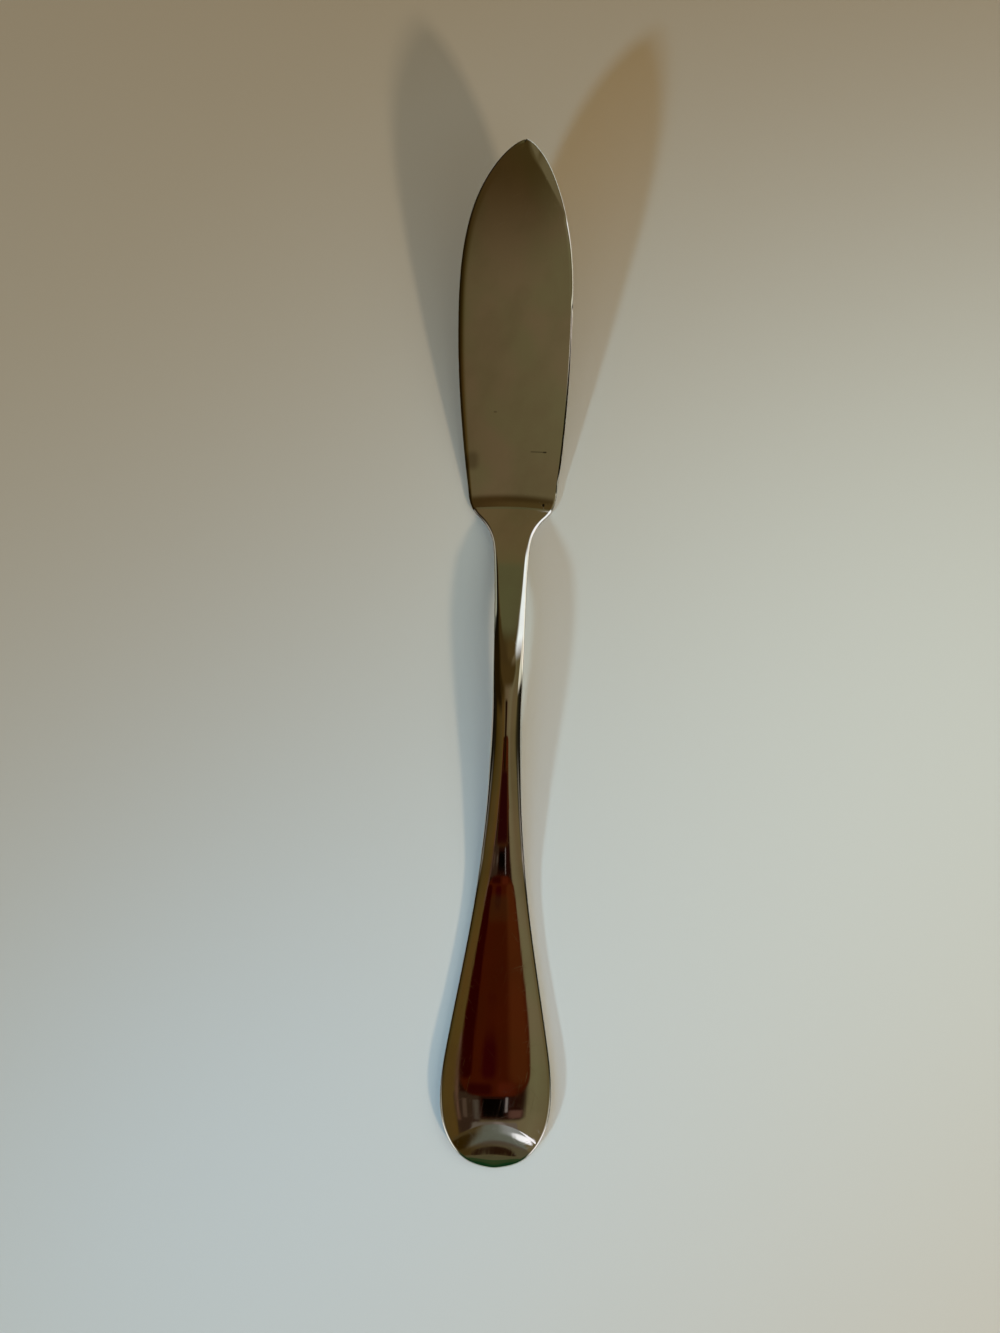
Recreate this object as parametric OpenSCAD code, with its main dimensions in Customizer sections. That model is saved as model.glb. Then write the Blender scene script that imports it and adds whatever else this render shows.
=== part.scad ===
// Fish knife in polished stainless steel, lying on its heel and on the rim of its handle.
// It is one forging, modelled as its three named lengths: blade, neck and handle.
// Places along the knife are measured from the tip towards the end of the handle.
// The tip points along +Y, the top faces +Z, and the origin lies on the table under the middle.

/* [Blade] */
// Length of the blade, from its tip to the corner of its heel
blade_l = 66; // [60:1:72]
// Width of the blade at its belly, where it is widest
blade_w = 22.8; // [19:0.2:26]
// Distance from the tip to the belly
belly_l = 32; // [26:1:38]
// Width of the blade where the heel begins to round
heel_w = 18.7; // [16:0.1:20]
// Length over which the corner of the heel rounds off
heel_corner_l = 3; // [2:0.25:4]
// Length of the shoulder, from the corner of the heel to the root of the neck
shoulder_l = 10.5; // [9:0.5:13]
// How far the belly leans out to the left of the knife's middle line
belly_lean = 0.66; // [0:0.02:1.2]
// How far the tip leans out to the right of the knife's middle line
tip_lean = 0.35; // [0:0.05:0.8]
// Thickness of the blade near its tip
tip_t = 1; // [0.8:0.1:1.4]
// Thickness of the blade near its heel
heel_t = 1.6; // [1.2:0.1:2.2]
// Width of the border that is ground down along both edges of the blade
grind_w = 1.8; // [1:0.1:2.6]

/* [Neck] */
// Length of the neck, from its root to the waist, its narrowest place
neck_l = 29; // [24:0.5:34]
// Width of the neck at its root, at the foot of the shoulder
root_w = 7.3; // [6.6:0.1:9]
// Thickness of the neck at its root
root_t = 3.1; // [2.4:0.1:3.6]
// Width of the neck at its middle
neck_w = 6.3; // [5.4:0.1:7]
// Thickness of the neck at its middle
neck_t = 3.5; // [2.8:0.1:4.2]
// Width of the neck's rounded edges
neck_edge = 1; // [0.6:0.1:1.6]
// Width of the waist
waist_w = 5.75; // [4.8:0.05:6.4]

/* [Handle] */
// Length of the handle, from the waist to its end
handle_l = 99.5; // [92:0.5:108]
// Width of the handle at its widest place
handle_w = 23.1; // [21:0.1:26]
// Distance from the widest place to the end
handle_end_l = 16.4; // [14:0.1:19]
// Thickness of the handle at its edges
handle_t = 2.2; // [1.8:0.1:3]
// Width of the handle's rounded edges
handle_edge = 0.7; // [0.4:0.05:1]
// Rise of the handle's rounded top above its edges
handle_crown = 0.7; // [0.3:0.05:1.2]
// Distance from the waist to the place where the stem is roundest
stem_l = 9; // [6:0.5:14]
// Rise of the stem's rounded top there
stem_crown = 1; // [0.5:0.05:1.3]
// Width of the stem's rounded edges there
stem_edge = 1.6; // [1:0.1:2]
// Distance from the waist to the place where the stem has opened into the palm
flare_l = 45.5; // [40:0.5:50]
// Width of the handle there
flare_w = 11.9; // [10:0.1:14]
// Rise of the handle's rounded top there
flare_crown = 0.4; // [0.2:0.05:0.8]
// Width of the palm where its sides begin to round towards the end
palm_w = 20.9; // [19.5:0.1:21]
// Distance from there to the widest place
palm_l = 10.6; // [8:0.2:13]

/* [Turned-down end] */
// Distance from the end to the top of the arched crease
crease_l = 10; // [8:0.5:12]
// Width between the two feet of the crease
crease_w = 17.6; // [14:0.2:20]
// How far the feet of the crease lie behind its top
crease_sweep = 5; // [3:0.25:6]
// Angle by which the top turns down at the crease
crease_angle = 7; // [3:0.5:8]
// How far the top has come down at the rim
crease_drop = 1.6; // [1.4:0.05:1.8]

/* [Side view] */
// Height of the underside at the tip
tip_rise = 20.5; // [14:0.5:25]
// Slope of the blade at the tip
tip_angle = 20.8; // [16:0.2:24]
// Slope of the blade ahead of the heel
heel_angle = 14.3; // [10:0.1:17]
// Height of the underside where the blade begins to bend towards the heel
heel_rise = 0.85; // [0.5:0.05:1.2]
// Length over which it bends
heel_bend_l = 4; // [3:0.25:6]
// Length of the flat under the heel, on which the knife rests
heel_rest_l = 3; // [2:0.25:4]
// Length over which the neck bends up behind the heel
root_bend_l = 8.5; // [7:0.5:10]
// Height of the underside behind that bend
root_rise = 2.3; // [1.6:0.1:3]
// Slope of the neck there
root_angle = 15; // [10:0.5:18]
// Height of the underside at the top of the arch
arch_rise = 5.75; // [4.5:0.25:8]
// Distance from the top of the arch forward of the waist
arch_ahead_l = 5; // [2:0.5:8]
// Height of the underside where the stem comes down most steeply
stem_rise = 1.8; // [1.4:0.1:2.4]
// Slope of the stem there
stem_angle = 7.4; // [5:0.2:9]
// Height of the underside at the dip under the palm
dip_rise = 0.5; // [0.2:0.05:0.7]
// Height of the underside at the widest place
palm_rise = 0.8; // [0.4:0.05:1.2]
// Length of the flat under the rim, on which the knife rests
end_rest_l = 2.5; // [1.5:0.25:3.5]

/* [Smoothness] */
// Sections along a long stretch
long_steps = 16; // [8:1:20]
// Sections along a short bend
short_steps = 6; // [4:2:8]
// Strips across the top of a section
across_steps = 10; // [6:2:14]
// Strips round a rounded edge, above and below
edge_steps = 3; // [2:1:4]

/* [Hidden] */
BLADE_STEEL = [0.55, 0.53, 0.46];
NECK_STEEL = [0.62, 0.60, 0.54];
HANDLE_STEEL = [0.50, 0.42, 0.34];

// Shares of the way along a stretch
heel_rest_place_share = 1 / 3;
shoulder_place_share = 0.28;
neck_place_share = 0.47;
stem_place_share = 0.49;
dip_place_share = 0.46;
tip_lean_place_share = 0.4;
belly_lean_place_share = 0.9;

// Share of the heel's width, over the root's, that is left half way round the shoulder
shoulder_w_share = 0.57;

// Places along the knife, from the tip
heel_at = blade_l;
heel_round_at = heel_at - heel_corner_l;
root_at = heel_at + shoulder_l;
shoulder_at = mix(heel_at, root_at, shoulder_place_share);
waist_at = root_at + neck_l;
neck_at = mix(root_at, waist_at, neck_place_share);
stem_at = waist_at + stem_l;
flare_at = waist_at + flare_l;
end_at = waist_at + handle_l;
widest_at = end_at - handle_end_l;
palm_at = widest_at - palm_l;
crease_at = end_at - crease_l;
heel_rest_from = mix(heel_round_at, heel_at, heel_rest_place_share);
heel_rest_to = heel_rest_from + heel_rest_l;
end_rest_from = end_at - end_rest_l;
arch_at = waist_at - arch_ahead_l;
stem_down_at = mix(arch_at, palm_at, stem_place_share);
dip_at = mix(flare_at, widest_at, dip_place_share);

// Slopes of the outline: width gained on one side for each length gone along the knife
heel_slope = -0.12;
shoulder_slope = -1.05;
root_slope = -0.08;
neck_slope = -0.02;
flare_slope = 0.145;
palm_slope = 0.165;
tip_lean_slope = -0.16;

// Slopes of the thickness
heel_thicken = 0.02;
root_thicken = 0.05;
flare_thin = -0.01;

// Powers of the curves that close the outline at the tip and at the end of the handle
tip_length_power = 2.7;
tip_width_power = 1.5;
end_power = 2.2;

// Lengths over which the steel thins out at the tip and at the rim, and the flats left there
tip_round_l = grind_w / 2;
end_round_l = handle_edge * 2;
tip_flat_l = tip_round_l / 8;
end_flat_l = end_round_l / 12;

function mix(from, to, share) = from + (to - from) * share;

// Value at a place between two rows, on the cubic curve that has both rows' slopes
function between(a, b, place) =
    let (gap = b[0] - a[0], t = (place - a[0]) / gap, rest = 1 - t)
    rest * rest * ((1 + 2 * t) * a[1] + t * gap * a[2])
    + t * t * ((3 - 2 * t) * b[1] - rest * gap * b[2]);

// Value at a place on the smooth curve through rows of place, value and slope
function curve(rows, place, i = 0) =
    place <= rows[i + 1][0] || i == len(rows) - 2
    ? between(rows[i], rows[i + 1], place)
    : curve(rows, place, i + 1);

// Half of the width, between the belly and the widest place of the handle
WIDTHS = [
    [belly_l, blade_w / 2, 0],
    [heel_round_at, heel_w / 2, heel_slope],
    [shoulder_at, mix(root_w, heel_w, shoulder_w_share) / 2, shoulder_slope],
    [root_at, root_w / 2, root_slope],
    [neck_at, neck_w / 2, neck_slope],
    [waist_at, waist_w / 2, 0],
    [flare_at, flare_w / 2, flare_slope],
    [palm_at, palm_w / 2, palm_slope],
    [widest_at, handle_w / 2, 0]
];

// How far the middle of the width lies to the right of the knife's middle line
LEANS = [
    [0, tip_lean, tip_lean_slope],
    [belly_l * tip_lean_place_share, -belly_lean, 0],
    [belly_l * belly_lean_place_share, -belly_lean, 0],
    [root_at, 0, 0],
    [end_at, 0, 0]
];

// Height of the underside above the table
UNDERSIDE = [
    [0, tip_rise, -tan(tip_angle)],
    [heel_rest_from - heel_bend_l, heel_rise, -tan(heel_angle)],
    [heel_rest_from, 0, 0],
    [heel_rest_to, 0, 0],
    [heel_rest_to + root_bend_l, root_rise, tan(root_angle)],
    [arch_at, arch_rise, 0],
    [stem_down_at, stem_rise, -tan(stem_angle)],
    [dip_at, dip_rise, 0],
    [widest_at, palm_rise, 0],
    [end_rest_from, 0, 0],
    [end_at, 0, 0]
];

// Thickness at the edges, before they are rounded
THICKNESSES = [
    [0, tip_t, 0],
    [heel_round_at, heel_t, heel_thicken],
    [root_at, root_t, root_thicken],
    [neck_at, neck_t, 0],
    [flare_at, handle_t, flare_thin],
    [end_at, handle_t, 0]
];

// Rise of the middle of the top above its edges
CROWNS = [
    [0, 0, 0],
    [neck_at, 0, 0],
    [stem_at, stem_crown, 0],
    [flare_at, flare_crown, 0],
    [widest_at, handle_crown, 0],
    [end_at, handle_crown, 0]
];

// Width of the rounded edges
EDGES = [
    [0, grind_w, 0],
    [root_at, neck_edge, 0],
    [neck_at, neck_edge, 0],
    [stem_at, stem_edge, 0],
    [flare_at, handle_edge, 0],
    [end_at, handle_edge, 0]
];

function half_width(place) =
    place < belly_l
    ? blade_w / 2 * pow(1 - pow(1 - place / belly_l, tip_length_power), 1 / tip_width_power)
    : place > widest_at
    ? handle_w / 2 * pow(1 - pow((place - widest_at) / handle_end_l, end_power), 1 / end_power)
    : curve(WIDTHS, place);

// Share of the thickness that is left at a distance from an end that is rounded over a length
function rounded(distance, length) =
    distance >= length ? 1 : sqrt(1 - pow(1 - distance / length, 2));

function thinning(place) = rounded(place, tip_round_l) * rounded(end_at - place, end_round_l);

// How far the turned-down end lies below the handle's own top, behind the arched crease
function turned_down(place, across) =
    let (
        fall = tan(crease_angle),
        behind = max(0, place - crease_at - crease_sweep * pow(2 * across / crease_w, 2))
    )
    behind * fall + (crease_drop - crease_l * fall) * pow(behind / crease_l, 2);

// One rounded edge of a section: side is 1 at the right and -1 at the left, angles are from the rim
function edge_arc(half, edge, side, from, to, first = 0) = [
    for (i = [first : edge_steps])
        let (angle = mix(from, to, i / edge_steps))
        [side * (half - edge + edge * cos(angle)), sin(angle)]
];

// Points inside the straight run between the edges, over the top (1) or underneath (-1)
function straight_run(from, to, face) = [
    for (i = [1 : across_steps - 1]) [mix(from, to, i / across_steps), face]
];

// A section's outline, each point as its distance across and its share of the way to a face
function section_outline(half, edge) =
    let (inner = half - edge)
    concat(
        edge_arc(half, edge, 1, 0, 90),
        straight_run(inner, -inner, 1),
        edge_arc(half, edge, -1, 90, 0),
        edge_arc(half, edge, -1, 0, -90, 1),
        straight_run(-inner, inner, -1),
        edge_arc(half, edge, 1, -90, 0, 1)
    );

// The closed section of the knife at a place, as points in space
function section(place) =
    let (
        half = half_width(place),
        edge = min(curve(EDGES, place), half / 2),
        below = curve(THICKNESSES, place) / 2,
        crown = curve(CROWNS, place),
        middle = curve(UNDERSIDE, place) + below,
        outline = section_outline(half, edge)
    )
    [
        for (i = [0 : len(outline) - 2])
            let (
                across = outline[i][0],
                face = outline[i][1] * thinning(place),
                above = below + crown * (1 - pow(across / half, 2)) - turned_down(place, across)
            )
            [
                across + curve(LEANS, place),
                -place,
                middle + face * (face > 0 ? above : below)
            ]
    ];

// A closed solid through sections that have as many points each
module loft(sections) {
    count = len(sections[0]);
    last = len(sections) - 1;
    sides = [
        for (s = [0 : last - 1], i = [0 : count - 1])
            let (a = s * count + i, b = s * count + (i + 1) % count)
            each [[a, b + count, b], [a, a + count, b + count]]
    ];
    front = [for (i = [0 : count - 1]) i];
    back = [for (i = [count - 1 : -1 : 0]) last * count + i];
    polyhedron(points = [for (s = sections) each s], faces = concat(sides, [front, back]));
}

function steps(from, to, count) = [for (i = [1 : count]) mix(from, to, i / count)];

// Places that lie closer together near the one they start from
function opening_steps(from, to, count) = [for (i = [0 : count]) mix(from, to, pow(i / count, 2))];

// Places that lie closer together near the one they end at
function closing_steps(from, to, count) = [for (i = [1 : count]) mix(to, from, pow(1 - i / count, 2))];

BLADE_PLACES = concat(
    opening_steps(tip_flat_l, belly_l, long_steps),
    steps(belly_l, heel_round_at, long_steps),
    steps(heel_round_at, heel_rest_from, short_steps / 2),
    steps(heel_rest_from, heel_rest_to, short_steps / 2),
    steps(heel_rest_to, root_at, short_steps * 2)
);
NECK_PLACES = concat([root_at], steps(root_at, waist_at, long_steps));
HANDLE_PLACES = concat(
    [waist_at],
    steps(waist_at, flare_at, long_steps),
    steps(flare_at, palm_at, short_steps),
    steps(palm_at, widest_at, short_steps),
    steps(widest_at, crease_at, short_steps),
    closing_steps(crease_at, end_at - end_flat_l, long_steps)
);

blade_sections = [for (place = BLADE_PLACES) section(place)];
neck_sections = [for (place = NECK_PLACES) section(place)];
handle_sections = [for (place = HANDLE_PLACES) section(place)];

// The middle of the knife's width and of its length, which the origin lies under
reaches = [for (one = concat(blade_sections, handle_sections), point = one) point[0]];
middle_x = (min(reaches) + max(reaches)) / 2;
middle_y = -(tip_flat_l + end_at - end_flat_l) / 2;

module over_origin() {
    translate([-middle_x, -middle_y, 0]) children();
}

module blade() {
    color(BLADE_STEEL) over_origin() loft(blade_sections);
}

module neck() {
    color(NECK_STEEL) over_origin() loft(neck_sections);
}

module handle() {
    color(HANDLE_STEEL) over_origin() loft(handle_sections);
}

blade();
neck();
handle();
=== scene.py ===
# %% [markdown]
# # A fish knife in mirror-polished stainless steel
#
# The real knife is stamped and forged from one bar of stainless steel and then polished all over.
# It has a thin flat blade, a narrow neck that arches over the table, and a broad handle whose end
# turns down behind an arched crease. It lies on its heel and on the rim of the handle.
#
# Polished steel has almost no colour of its own. What we see is the room, bent by the surface. So
# this lesson spends its time on two things: a surface whose slopes are right, and a room that is
# worth mirroring.

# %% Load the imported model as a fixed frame
import math

import bpy
import mathutils
import numpy as np
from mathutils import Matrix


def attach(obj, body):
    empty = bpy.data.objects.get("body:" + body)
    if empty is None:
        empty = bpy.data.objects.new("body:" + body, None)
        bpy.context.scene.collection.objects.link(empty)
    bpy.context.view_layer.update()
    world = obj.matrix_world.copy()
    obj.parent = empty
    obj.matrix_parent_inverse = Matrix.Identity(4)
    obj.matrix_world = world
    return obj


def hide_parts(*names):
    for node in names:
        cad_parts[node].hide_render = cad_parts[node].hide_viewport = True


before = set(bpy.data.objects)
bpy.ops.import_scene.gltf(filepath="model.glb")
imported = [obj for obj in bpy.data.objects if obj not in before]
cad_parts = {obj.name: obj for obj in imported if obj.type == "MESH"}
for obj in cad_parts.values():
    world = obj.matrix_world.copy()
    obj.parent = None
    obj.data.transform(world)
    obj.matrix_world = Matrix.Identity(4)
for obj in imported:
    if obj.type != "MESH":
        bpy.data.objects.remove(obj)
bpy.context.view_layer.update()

# %% [markdown]
# ## The sizes
#
# All sizes are in millimetres, as on a workshop drawing, and become metres when a mesh is made.
# A place is a distance along the knife, measured from its tip. Each table holds rows of place,
# value and slope, and a smooth cubic curve runs through the rows. The numbers began as those of
# the CAD source. Some then moved by a few tenths of a millimetre, because a mirror shows slopes far
# more clearly than an outline does, and the reflections have to fall where they really do.

# %% Places along the knife
MM = 0.001
TIP_AT = 0.1125
BELLY_AT = 32
HEEL_ROUND_AT = 63
HEEL_REST_FROM = 64
HEEL_REST_TO = 67
SHOULDER_AT = 68.94
ROOT_BEND_TO = 75.5
ROOT_AT = 76.5
NECK_AT = 90.13
ARCH_AT = 100.5
WAIST_AT = 105.5
STEM_AT = 114.5
STEM_STEEP_AT = 139.5
FLARE_AT = 151
DIP_AT = 168.3
PALM_AT = 178
WIDEST_AT = 188.6
CREASE_AT = 194.3
END_REST_FROM = 202.5
END_AT = 204.882

# Where the middle of the knife lies in the shared frame
MIDDLE_ACROSS = 0.251
MIDDLE_AT = 102.498


def slope_of(degrees):
    """Rise for each length gone, of a line that climbs by an angle."""
    return math.tan(math.radians(degrees))


# %% Tables of the width and of the underside
BLADE_HALF_WIDTH = 11.39
HANDLE_HALF_WIDTH = 11.545
HALF_WIDTHS = [
    (BELLY_AT, BLADE_HALF_WIDTH, 0),
    (HEEL_ROUND_AT, 9.35, -0.12),
    (SHOULDER_AT, 6.898, -1.05),
    (ROOT_AT, 3.65, -0.08),
    (NECK_AT, 3.15, -0.02),
    (WAIST_AT, 3.0, -0.01),
    (114, 3.12, 0.025),
    (130, 3.72, 0.072),
    (FLARE_AT, 5.95, 0.145),
    (PALM_AT, 10.45, 0.165),
    (WIDEST_AT, HANDLE_HALF_WIDTH, 0),
]
# How far the middle line leans to the right
LEANS = [
    (0, 0.35, -0.16),
    (12.8, -0.66, 0),
    (28.8, -0.66, 0),
    (ROOT_AT, 0, 0),
    (END_AT, 0, 0),
]
# Height of the underside over the table
UNDERSIDE = [
    (0, 20.3, -slope_of(20.8)),
    (60, 0.85, -slope_of(14.3)),
    (HEEL_REST_FROM, 0, 0),
    (HEEL_REST_TO, 0, 0),
    (ROOT_BEND_TO, 2.3, slope_of(15)),
    (ARCH_AT, 6, 0),
    (108, 5.71, -slope_of(4.4)),
    (STEM_AT, 5.08, -slope_of(6.8)),
    (124, 3.8, -slope_of(8.45)),
    (131, 2.74, -slope_of(8.9)),
    (136, 1.97, -slope_of(8.45)),
    (STEM_STEEP_AT, 1.41, -slope_of(9.8)),
    (142, 1.01, -slope_of(8.5)),
    (145, 0.63, -slope_of(5.7)),
    (148, 0.4, -slope_of(3.1)),
    (152, 0.245, -slope_of(1.4)),
    (160, 0.175, slope_of(0.4)),
    (DIP_AT, 0.27, slope_of(0.8)),
    (WIDEST_AT, 0.8, 0),
    (END_REST_FROM, 0, 0),
    (END_AT, 0, 0),
]

# %% Tables of the thickness and of the rims
THICKNESSES = [
    (0, 1, 0),
    (HEEL_ROUND_AT, 1.6, 0.02),
    (ROOT_AT, 3.1, 0.05),
    (NECK_AT, 3.5, 0),
    (FLARE_AT, 2.2, -0.01),
    (END_AT, 2.2, 0),
]
# How much higher the middle of the top is than its sides
CROWNS = [
    (0, 0, 0),
    (NECK_AT, 0, 0),
    (STEM_AT, 0.92, 0),
    (120, 0.76, -0.04),
    (128, 0.54, -0.008),
    (FLARE_AT, 0.42, 0),
    (170, 0.5, 0.006),
    (WIDEST_AT, 0.62, 0),
    (196, 0.58, -0.015),
    (END_AT, 0.3, -0.045),
]
# Width over which the faces turn over at the rim
LEFT_EDGES = [
    (0, 1.8, 0),
    (10, 1.7, 0),
    (26, 1.6, 0),
    (50, 1.4, -0.02),
    (HEEL_ROUND_AT, 0.9, -0.03),
    (ROOT_AT, 0.9, 0.03),
    (86, 1.3, 0.1),
    (NECK_AT, 1.8, 0.1),
    (95, 2.05, 0),
    (101, 1.5, -0.09),
    (STEM_AT, 1.1, 0),
    (FLARE_AT, 0.9, 0),
    (WIDEST_AT, 0.9, 0),
    (END_AT, 0.9, 0),
]
# The right side of the tip is all but sharp as far as its bevel goes, then rounded, then a chamfer
RIGHT_EDGES = [
    (0, 0.04, 0),
    (12, 0.04, 0),
    (13.5, 0.7, 0),
    (24, 0.8, 0),
    (29, 0.31, 0),
    (60, 0.4, 0),
    (66, 0.5, 0),
] + LEFT_EDGES[5:]
# The power of the arc at the rim: 2 is an ellipse, 1 a flat chamfer
ROUND_POWER = 2.4
CHAMFER_POWER = 1.05
LEFT_POWERS = [
    (0, ROUND_POWER, 0),
    (END_AT, ROUND_POWER, 0),
]
RIGHT_POWERS = [
    (0, ROUND_POWER, 0),
    (24, ROUND_POWER, 0),
    (28, CHAMFER_POWER, 0),
    (61, CHAMFER_POWER, 0),
    (66, ROUND_POWER, 0),
    (END_AT, ROUND_POWER, 0),
]
# Width of a narrow bevel along the right side of the tip. It fades out on the middle line
BEVEL_WIDTHS = [
    (0, 1.9, 0),
    (6, 1.6, -0.12),
    (12.5, 0, -0.3),
]
NO_BEVEL = [
    (0, 0, 0),
    (1, 0, 0),
]
BEVEL_SLOPE = slope_of(3)
BEVEL_SOFTNESS = 0.12
BEVEL_FADE = 3
BEVEL_NARROW = 0.3
# The top's own height round the heel, where it is not just the underside plus the thickness
HEEL_TOP_FROM = 57
HEEL_TOPS = [
    (HEEL_TOP_FROM, 3.115, -0.2462),
    (62.2, 1.872, -0.232),
    (65.6, 1.376, -0.06),
    (66.5, 1.335, -0.03),
    (67, 1.42, 0.335),
    (72.5, 3.38, 0.375),
    (ROOT_AT, 4.87, 0.36),
    (83, 7.0, 0.295),
    (NECK_AT, 8.793, 0.131),
]
# How much of the heel's bow counts at a place
HEEL_BOWS = [
    (56, 0, 0),
    (63.5, 1, 0),
    (67.5, 1, 0),
    (ROOT_AT, 0, 0),
]
HEEL_BOW = 0.35
HEEL_BOW_HALF_WIDTH = 7.2
# Share of the thickness at which the rim lies
RIM_SHARES = [
    (0, 0.8, 0),
    (HEEL_ROUND_AT, 0.8, 0),
    (NECK_AT, 0.84, 0),
    (CREASE_AT, 0.84, 0),
    (END_AT, 0.5, -0.02),
]
TIP_LENGTH_POWER = 2.7
TIP_WIDTH_POWER = 1.5
END_POWER = 2.2


# %% Curves through the tables
def curve(rows, at):
    """Value at each place: the cubic through the rows on its two sides that has both rows' slopes."""
    rows = np.array(rows, float)
    first = np.clip(np.searchsorted(rows[:, 0], at, side="right") - 1, 0, len(rows) - 2)
    a, b = rows[first], rows[first + 1]
    gap = b[..., 0] - a[..., 0]
    t = (at - a[..., 0]) / gap
    rest = 1 - t
    start = (1 + 2 * t) * a[..., 1] + t * gap * a[..., 2]
    end = (3 - 2 * t) * b[..., 1] - rest * gap * b[..., 2]
    return rest**2 * start + t**2 * end


def half_width(at):
    """Half of the width at each place: a pointed arch at the tip, a rounded arch at the end,
    each of the form (1 - share ** p) ** (1 / q), and a smooth curve between them."""
    tip_share = np.clip((BELLY_AT - at) / (BELLY_AT - TIP_AT), 0, 1)
    end_share = np.clip((at - WIDEST_AT) / (END_AT - WIDEST_AT), 0, 1)
    tip = BLADE_HALF_WIDTH * (1 - tip_share**TIP_LENGTH_POWER) ** (1 / TIP_WIDTH_POWER)
    end = HANDLE_HALF_WIDTH * (1 - end_share**END_POWER) ** (1 / END_POWER)
    middle = curve(HALF_WIDTHS, at)
    return np.where(at < BELLY_AT, tip, np.where(at > WIDEST_AT, end, middle))


for name, place in (("belly", BELLY_AT), ("waist", WAIST_AT), ("palm", WIDEST_AT)):
    print("width at the", name, round(2 * float(half_width(np.array(place))), 2), "mm")


# %% [markdown]
# ## The grid
#
# The knife is one closed surface. Its grid has a row for each place along the middle line, and
# each row runs from the rim on one side over the spine to the rim on the other side, then back
# underneath. Near the tip and near the end the rows bend like bows, so that they follow the
# arched crease and close neatly on the pointed outline. The columns crowd at the rim, where the
# surface turns over.

# %% Rows and columns
FIRST_ROW_AT = 3.1125
LAST_ROW_AT = 202.4
# Place where a row leaves the middle line, and place where it reaches the rim
ROW_ENDS = [
    (FIRST_ROW_AT, TIP_AT, 0.15),
    (16, 16, 1),
    (180, 180, 1),
    (CREASE_AT, 200, 1.1),
    (LAST_ROW_AT, END_AT, 0),
]
# From, to and step along the middle line
ROW_STEPS = [
    (FIRST_ROW_AT, 8, 0.12),
    (8, 60, 0.3),
    (60, ROOT_AT, 0.15),
    (ROOT_AT, WAIST_AT, 0.25),
    (WAIST_AT, FLARE_AT, 0.3),
    (FLARE_AT, 193.5, 0.25),
    (193.5, 196.5, 0.08),
    (196.5, LAST_ROW_AT, 0.12),
]
RIM_COLUMNS = 15
INNER_COLUMNS = 24
RIM_SHARE_MOST = 0.6
TINY_STEP = 0.001
ALMOST_NOTHING = 1e-6
NO_LENGTH = 1e-12


def row_places():
    """Places of the rows on the middle line, evenly spaced within each span."""
    spans = [
        np.linspace(a, b, round((b - a) / step), endpoint=False) for a, b, step in ROW_STEPS
    ]
    return np.concatenate(spans + [[ROW_STEPS[-1][1]]])


def rim_slope(rim):
    """Width gained on one side for each length gone, by the difference over a tiny step."""
    ahead = np.minimum(rim + TINY_STEP, END_AT)
    back = np.maximum(rim - TINY_STEP, TIP_AT)
    return (half_width(ahead) - half_width(back)) / (ahead - back)


def half_grid():
    """Distances across and places of the grid's right half, columns from the rim to the spine.
    A row is a bow: across = half * g and place = spine + (rim - spine) * g squared, where g goes
    from 1 at the rim to 0 at the spine. Near the rim g steps as the cosine of an even angle."""
    spine = row_places()
    rim = curve(ROW_ENDS, spine)
    half = half_width(rim)
    slope = rim_slope(rim)
    length = np.hypot(1, slope)
    # Distance from the rim that one unit of g gains
    gain = (half - 2 * (rim - spine) * slope) / length
    edge_share = curve(LEFT_EDGES, rim) / np.maximum(gain, ALMOST_NOTHING)
    rim_share = np.minimum(edge_share, RIM_SHARE_MOST)
    angle = np.linspace(0, math.pi / 2, RIM_COLUMNS + 1)
    inner = np.linspace(0, 1, INNER_COLUMNS + 1)[1:]
    g = np.concatenate(
        [
            1 - rim_share[:, None] * (1 - np.cos(angle)),
            (1 - rim_share)[:, None] * (1 - inner),
        ],
        axis=1,
    )
    return half[:, None] * g, spine[:, None] + (rim - spine)[:, None] * g**2


# %% Distance to the outline
OUTLINE_POINTS = 4000
POINTS_AT_THE_TIP = 60
POINTS_AT_ONCE = 1500


def outline_points():
    """Many points on the outline's right half, as distance across and place."""
    spine = np.linspace(FIRST_ROW_AT, LAST_ROW_AT, OUTLINE_POINTS)
    rim = curve(ROW_ENDS, spine)
    shares = np.linspace(0, 1, POINTS_AT_THE_TIP)[:-1] ** TIP_WIDTH_POWER
    first = TIP_AT + (rim[1] - TIP_AT) * shares
    rim = np.concatenate([first, rim[1:]])
    return np.stack([half_width(rim), rim], axis=-1)


def distance_to_outline(across, at):
    """Distance from each grid point to the nearest stretch between two outline points. The points
    are taken in batches, because a table of all distances at once would fill the memory."""
    line = outline_points()
    points = np.stack([across, at], axis=-1).reshape(-1, 2)
    found = np.empty(len(points))
    for start in range(0, len(points), POINTS_AT_ONCE):
        some = points[start : start + POINTS_AT_ONCE]
        nearest = np.argmin(((some[:, None] - line[None]) ** 2).sum(-1), axis=1)
        best = np.full(len(some), np.inf)
        for a, b in (
            (np.maximum(nearest - 1, 0), nearest),
            (nearest, np.minimum(nearest + 1, len(line) - 1)),
        ):
            step = line[b] - line[a]
            share = ((some - line[a]) * step).sum(-1) / np.maximum((step**2).sum(-1), NO_LENGTH)
            foot = line[a] + step * np.clip(share, 0, 1)[:, None]
            best = np.minimum(best, np.linalg.norm(some - foot, axis=1))
        found[start : start + POINTS_AT_ONCE] = best
    return found.reshape(across.shape)


# %% [markdown]
# ## The surface
#
# The height of the top is the height of the underside, plus the thickness, plus a low crown, minus
# what the end turns down behind its crease. Near the rim both faces come together on an arc,
# measured by the true distance from the outline, so the rim is as even round the point of the
# blade as along its sides.
#
# The rims are low, wide arcs. A rim steeper than 45 degrees would mirror the pale table, and from
# above the knife would look as if it ended earlier. Up to 45 degrees it mirrors the dark walls,
# and they draw the dark line round the knife.

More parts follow.
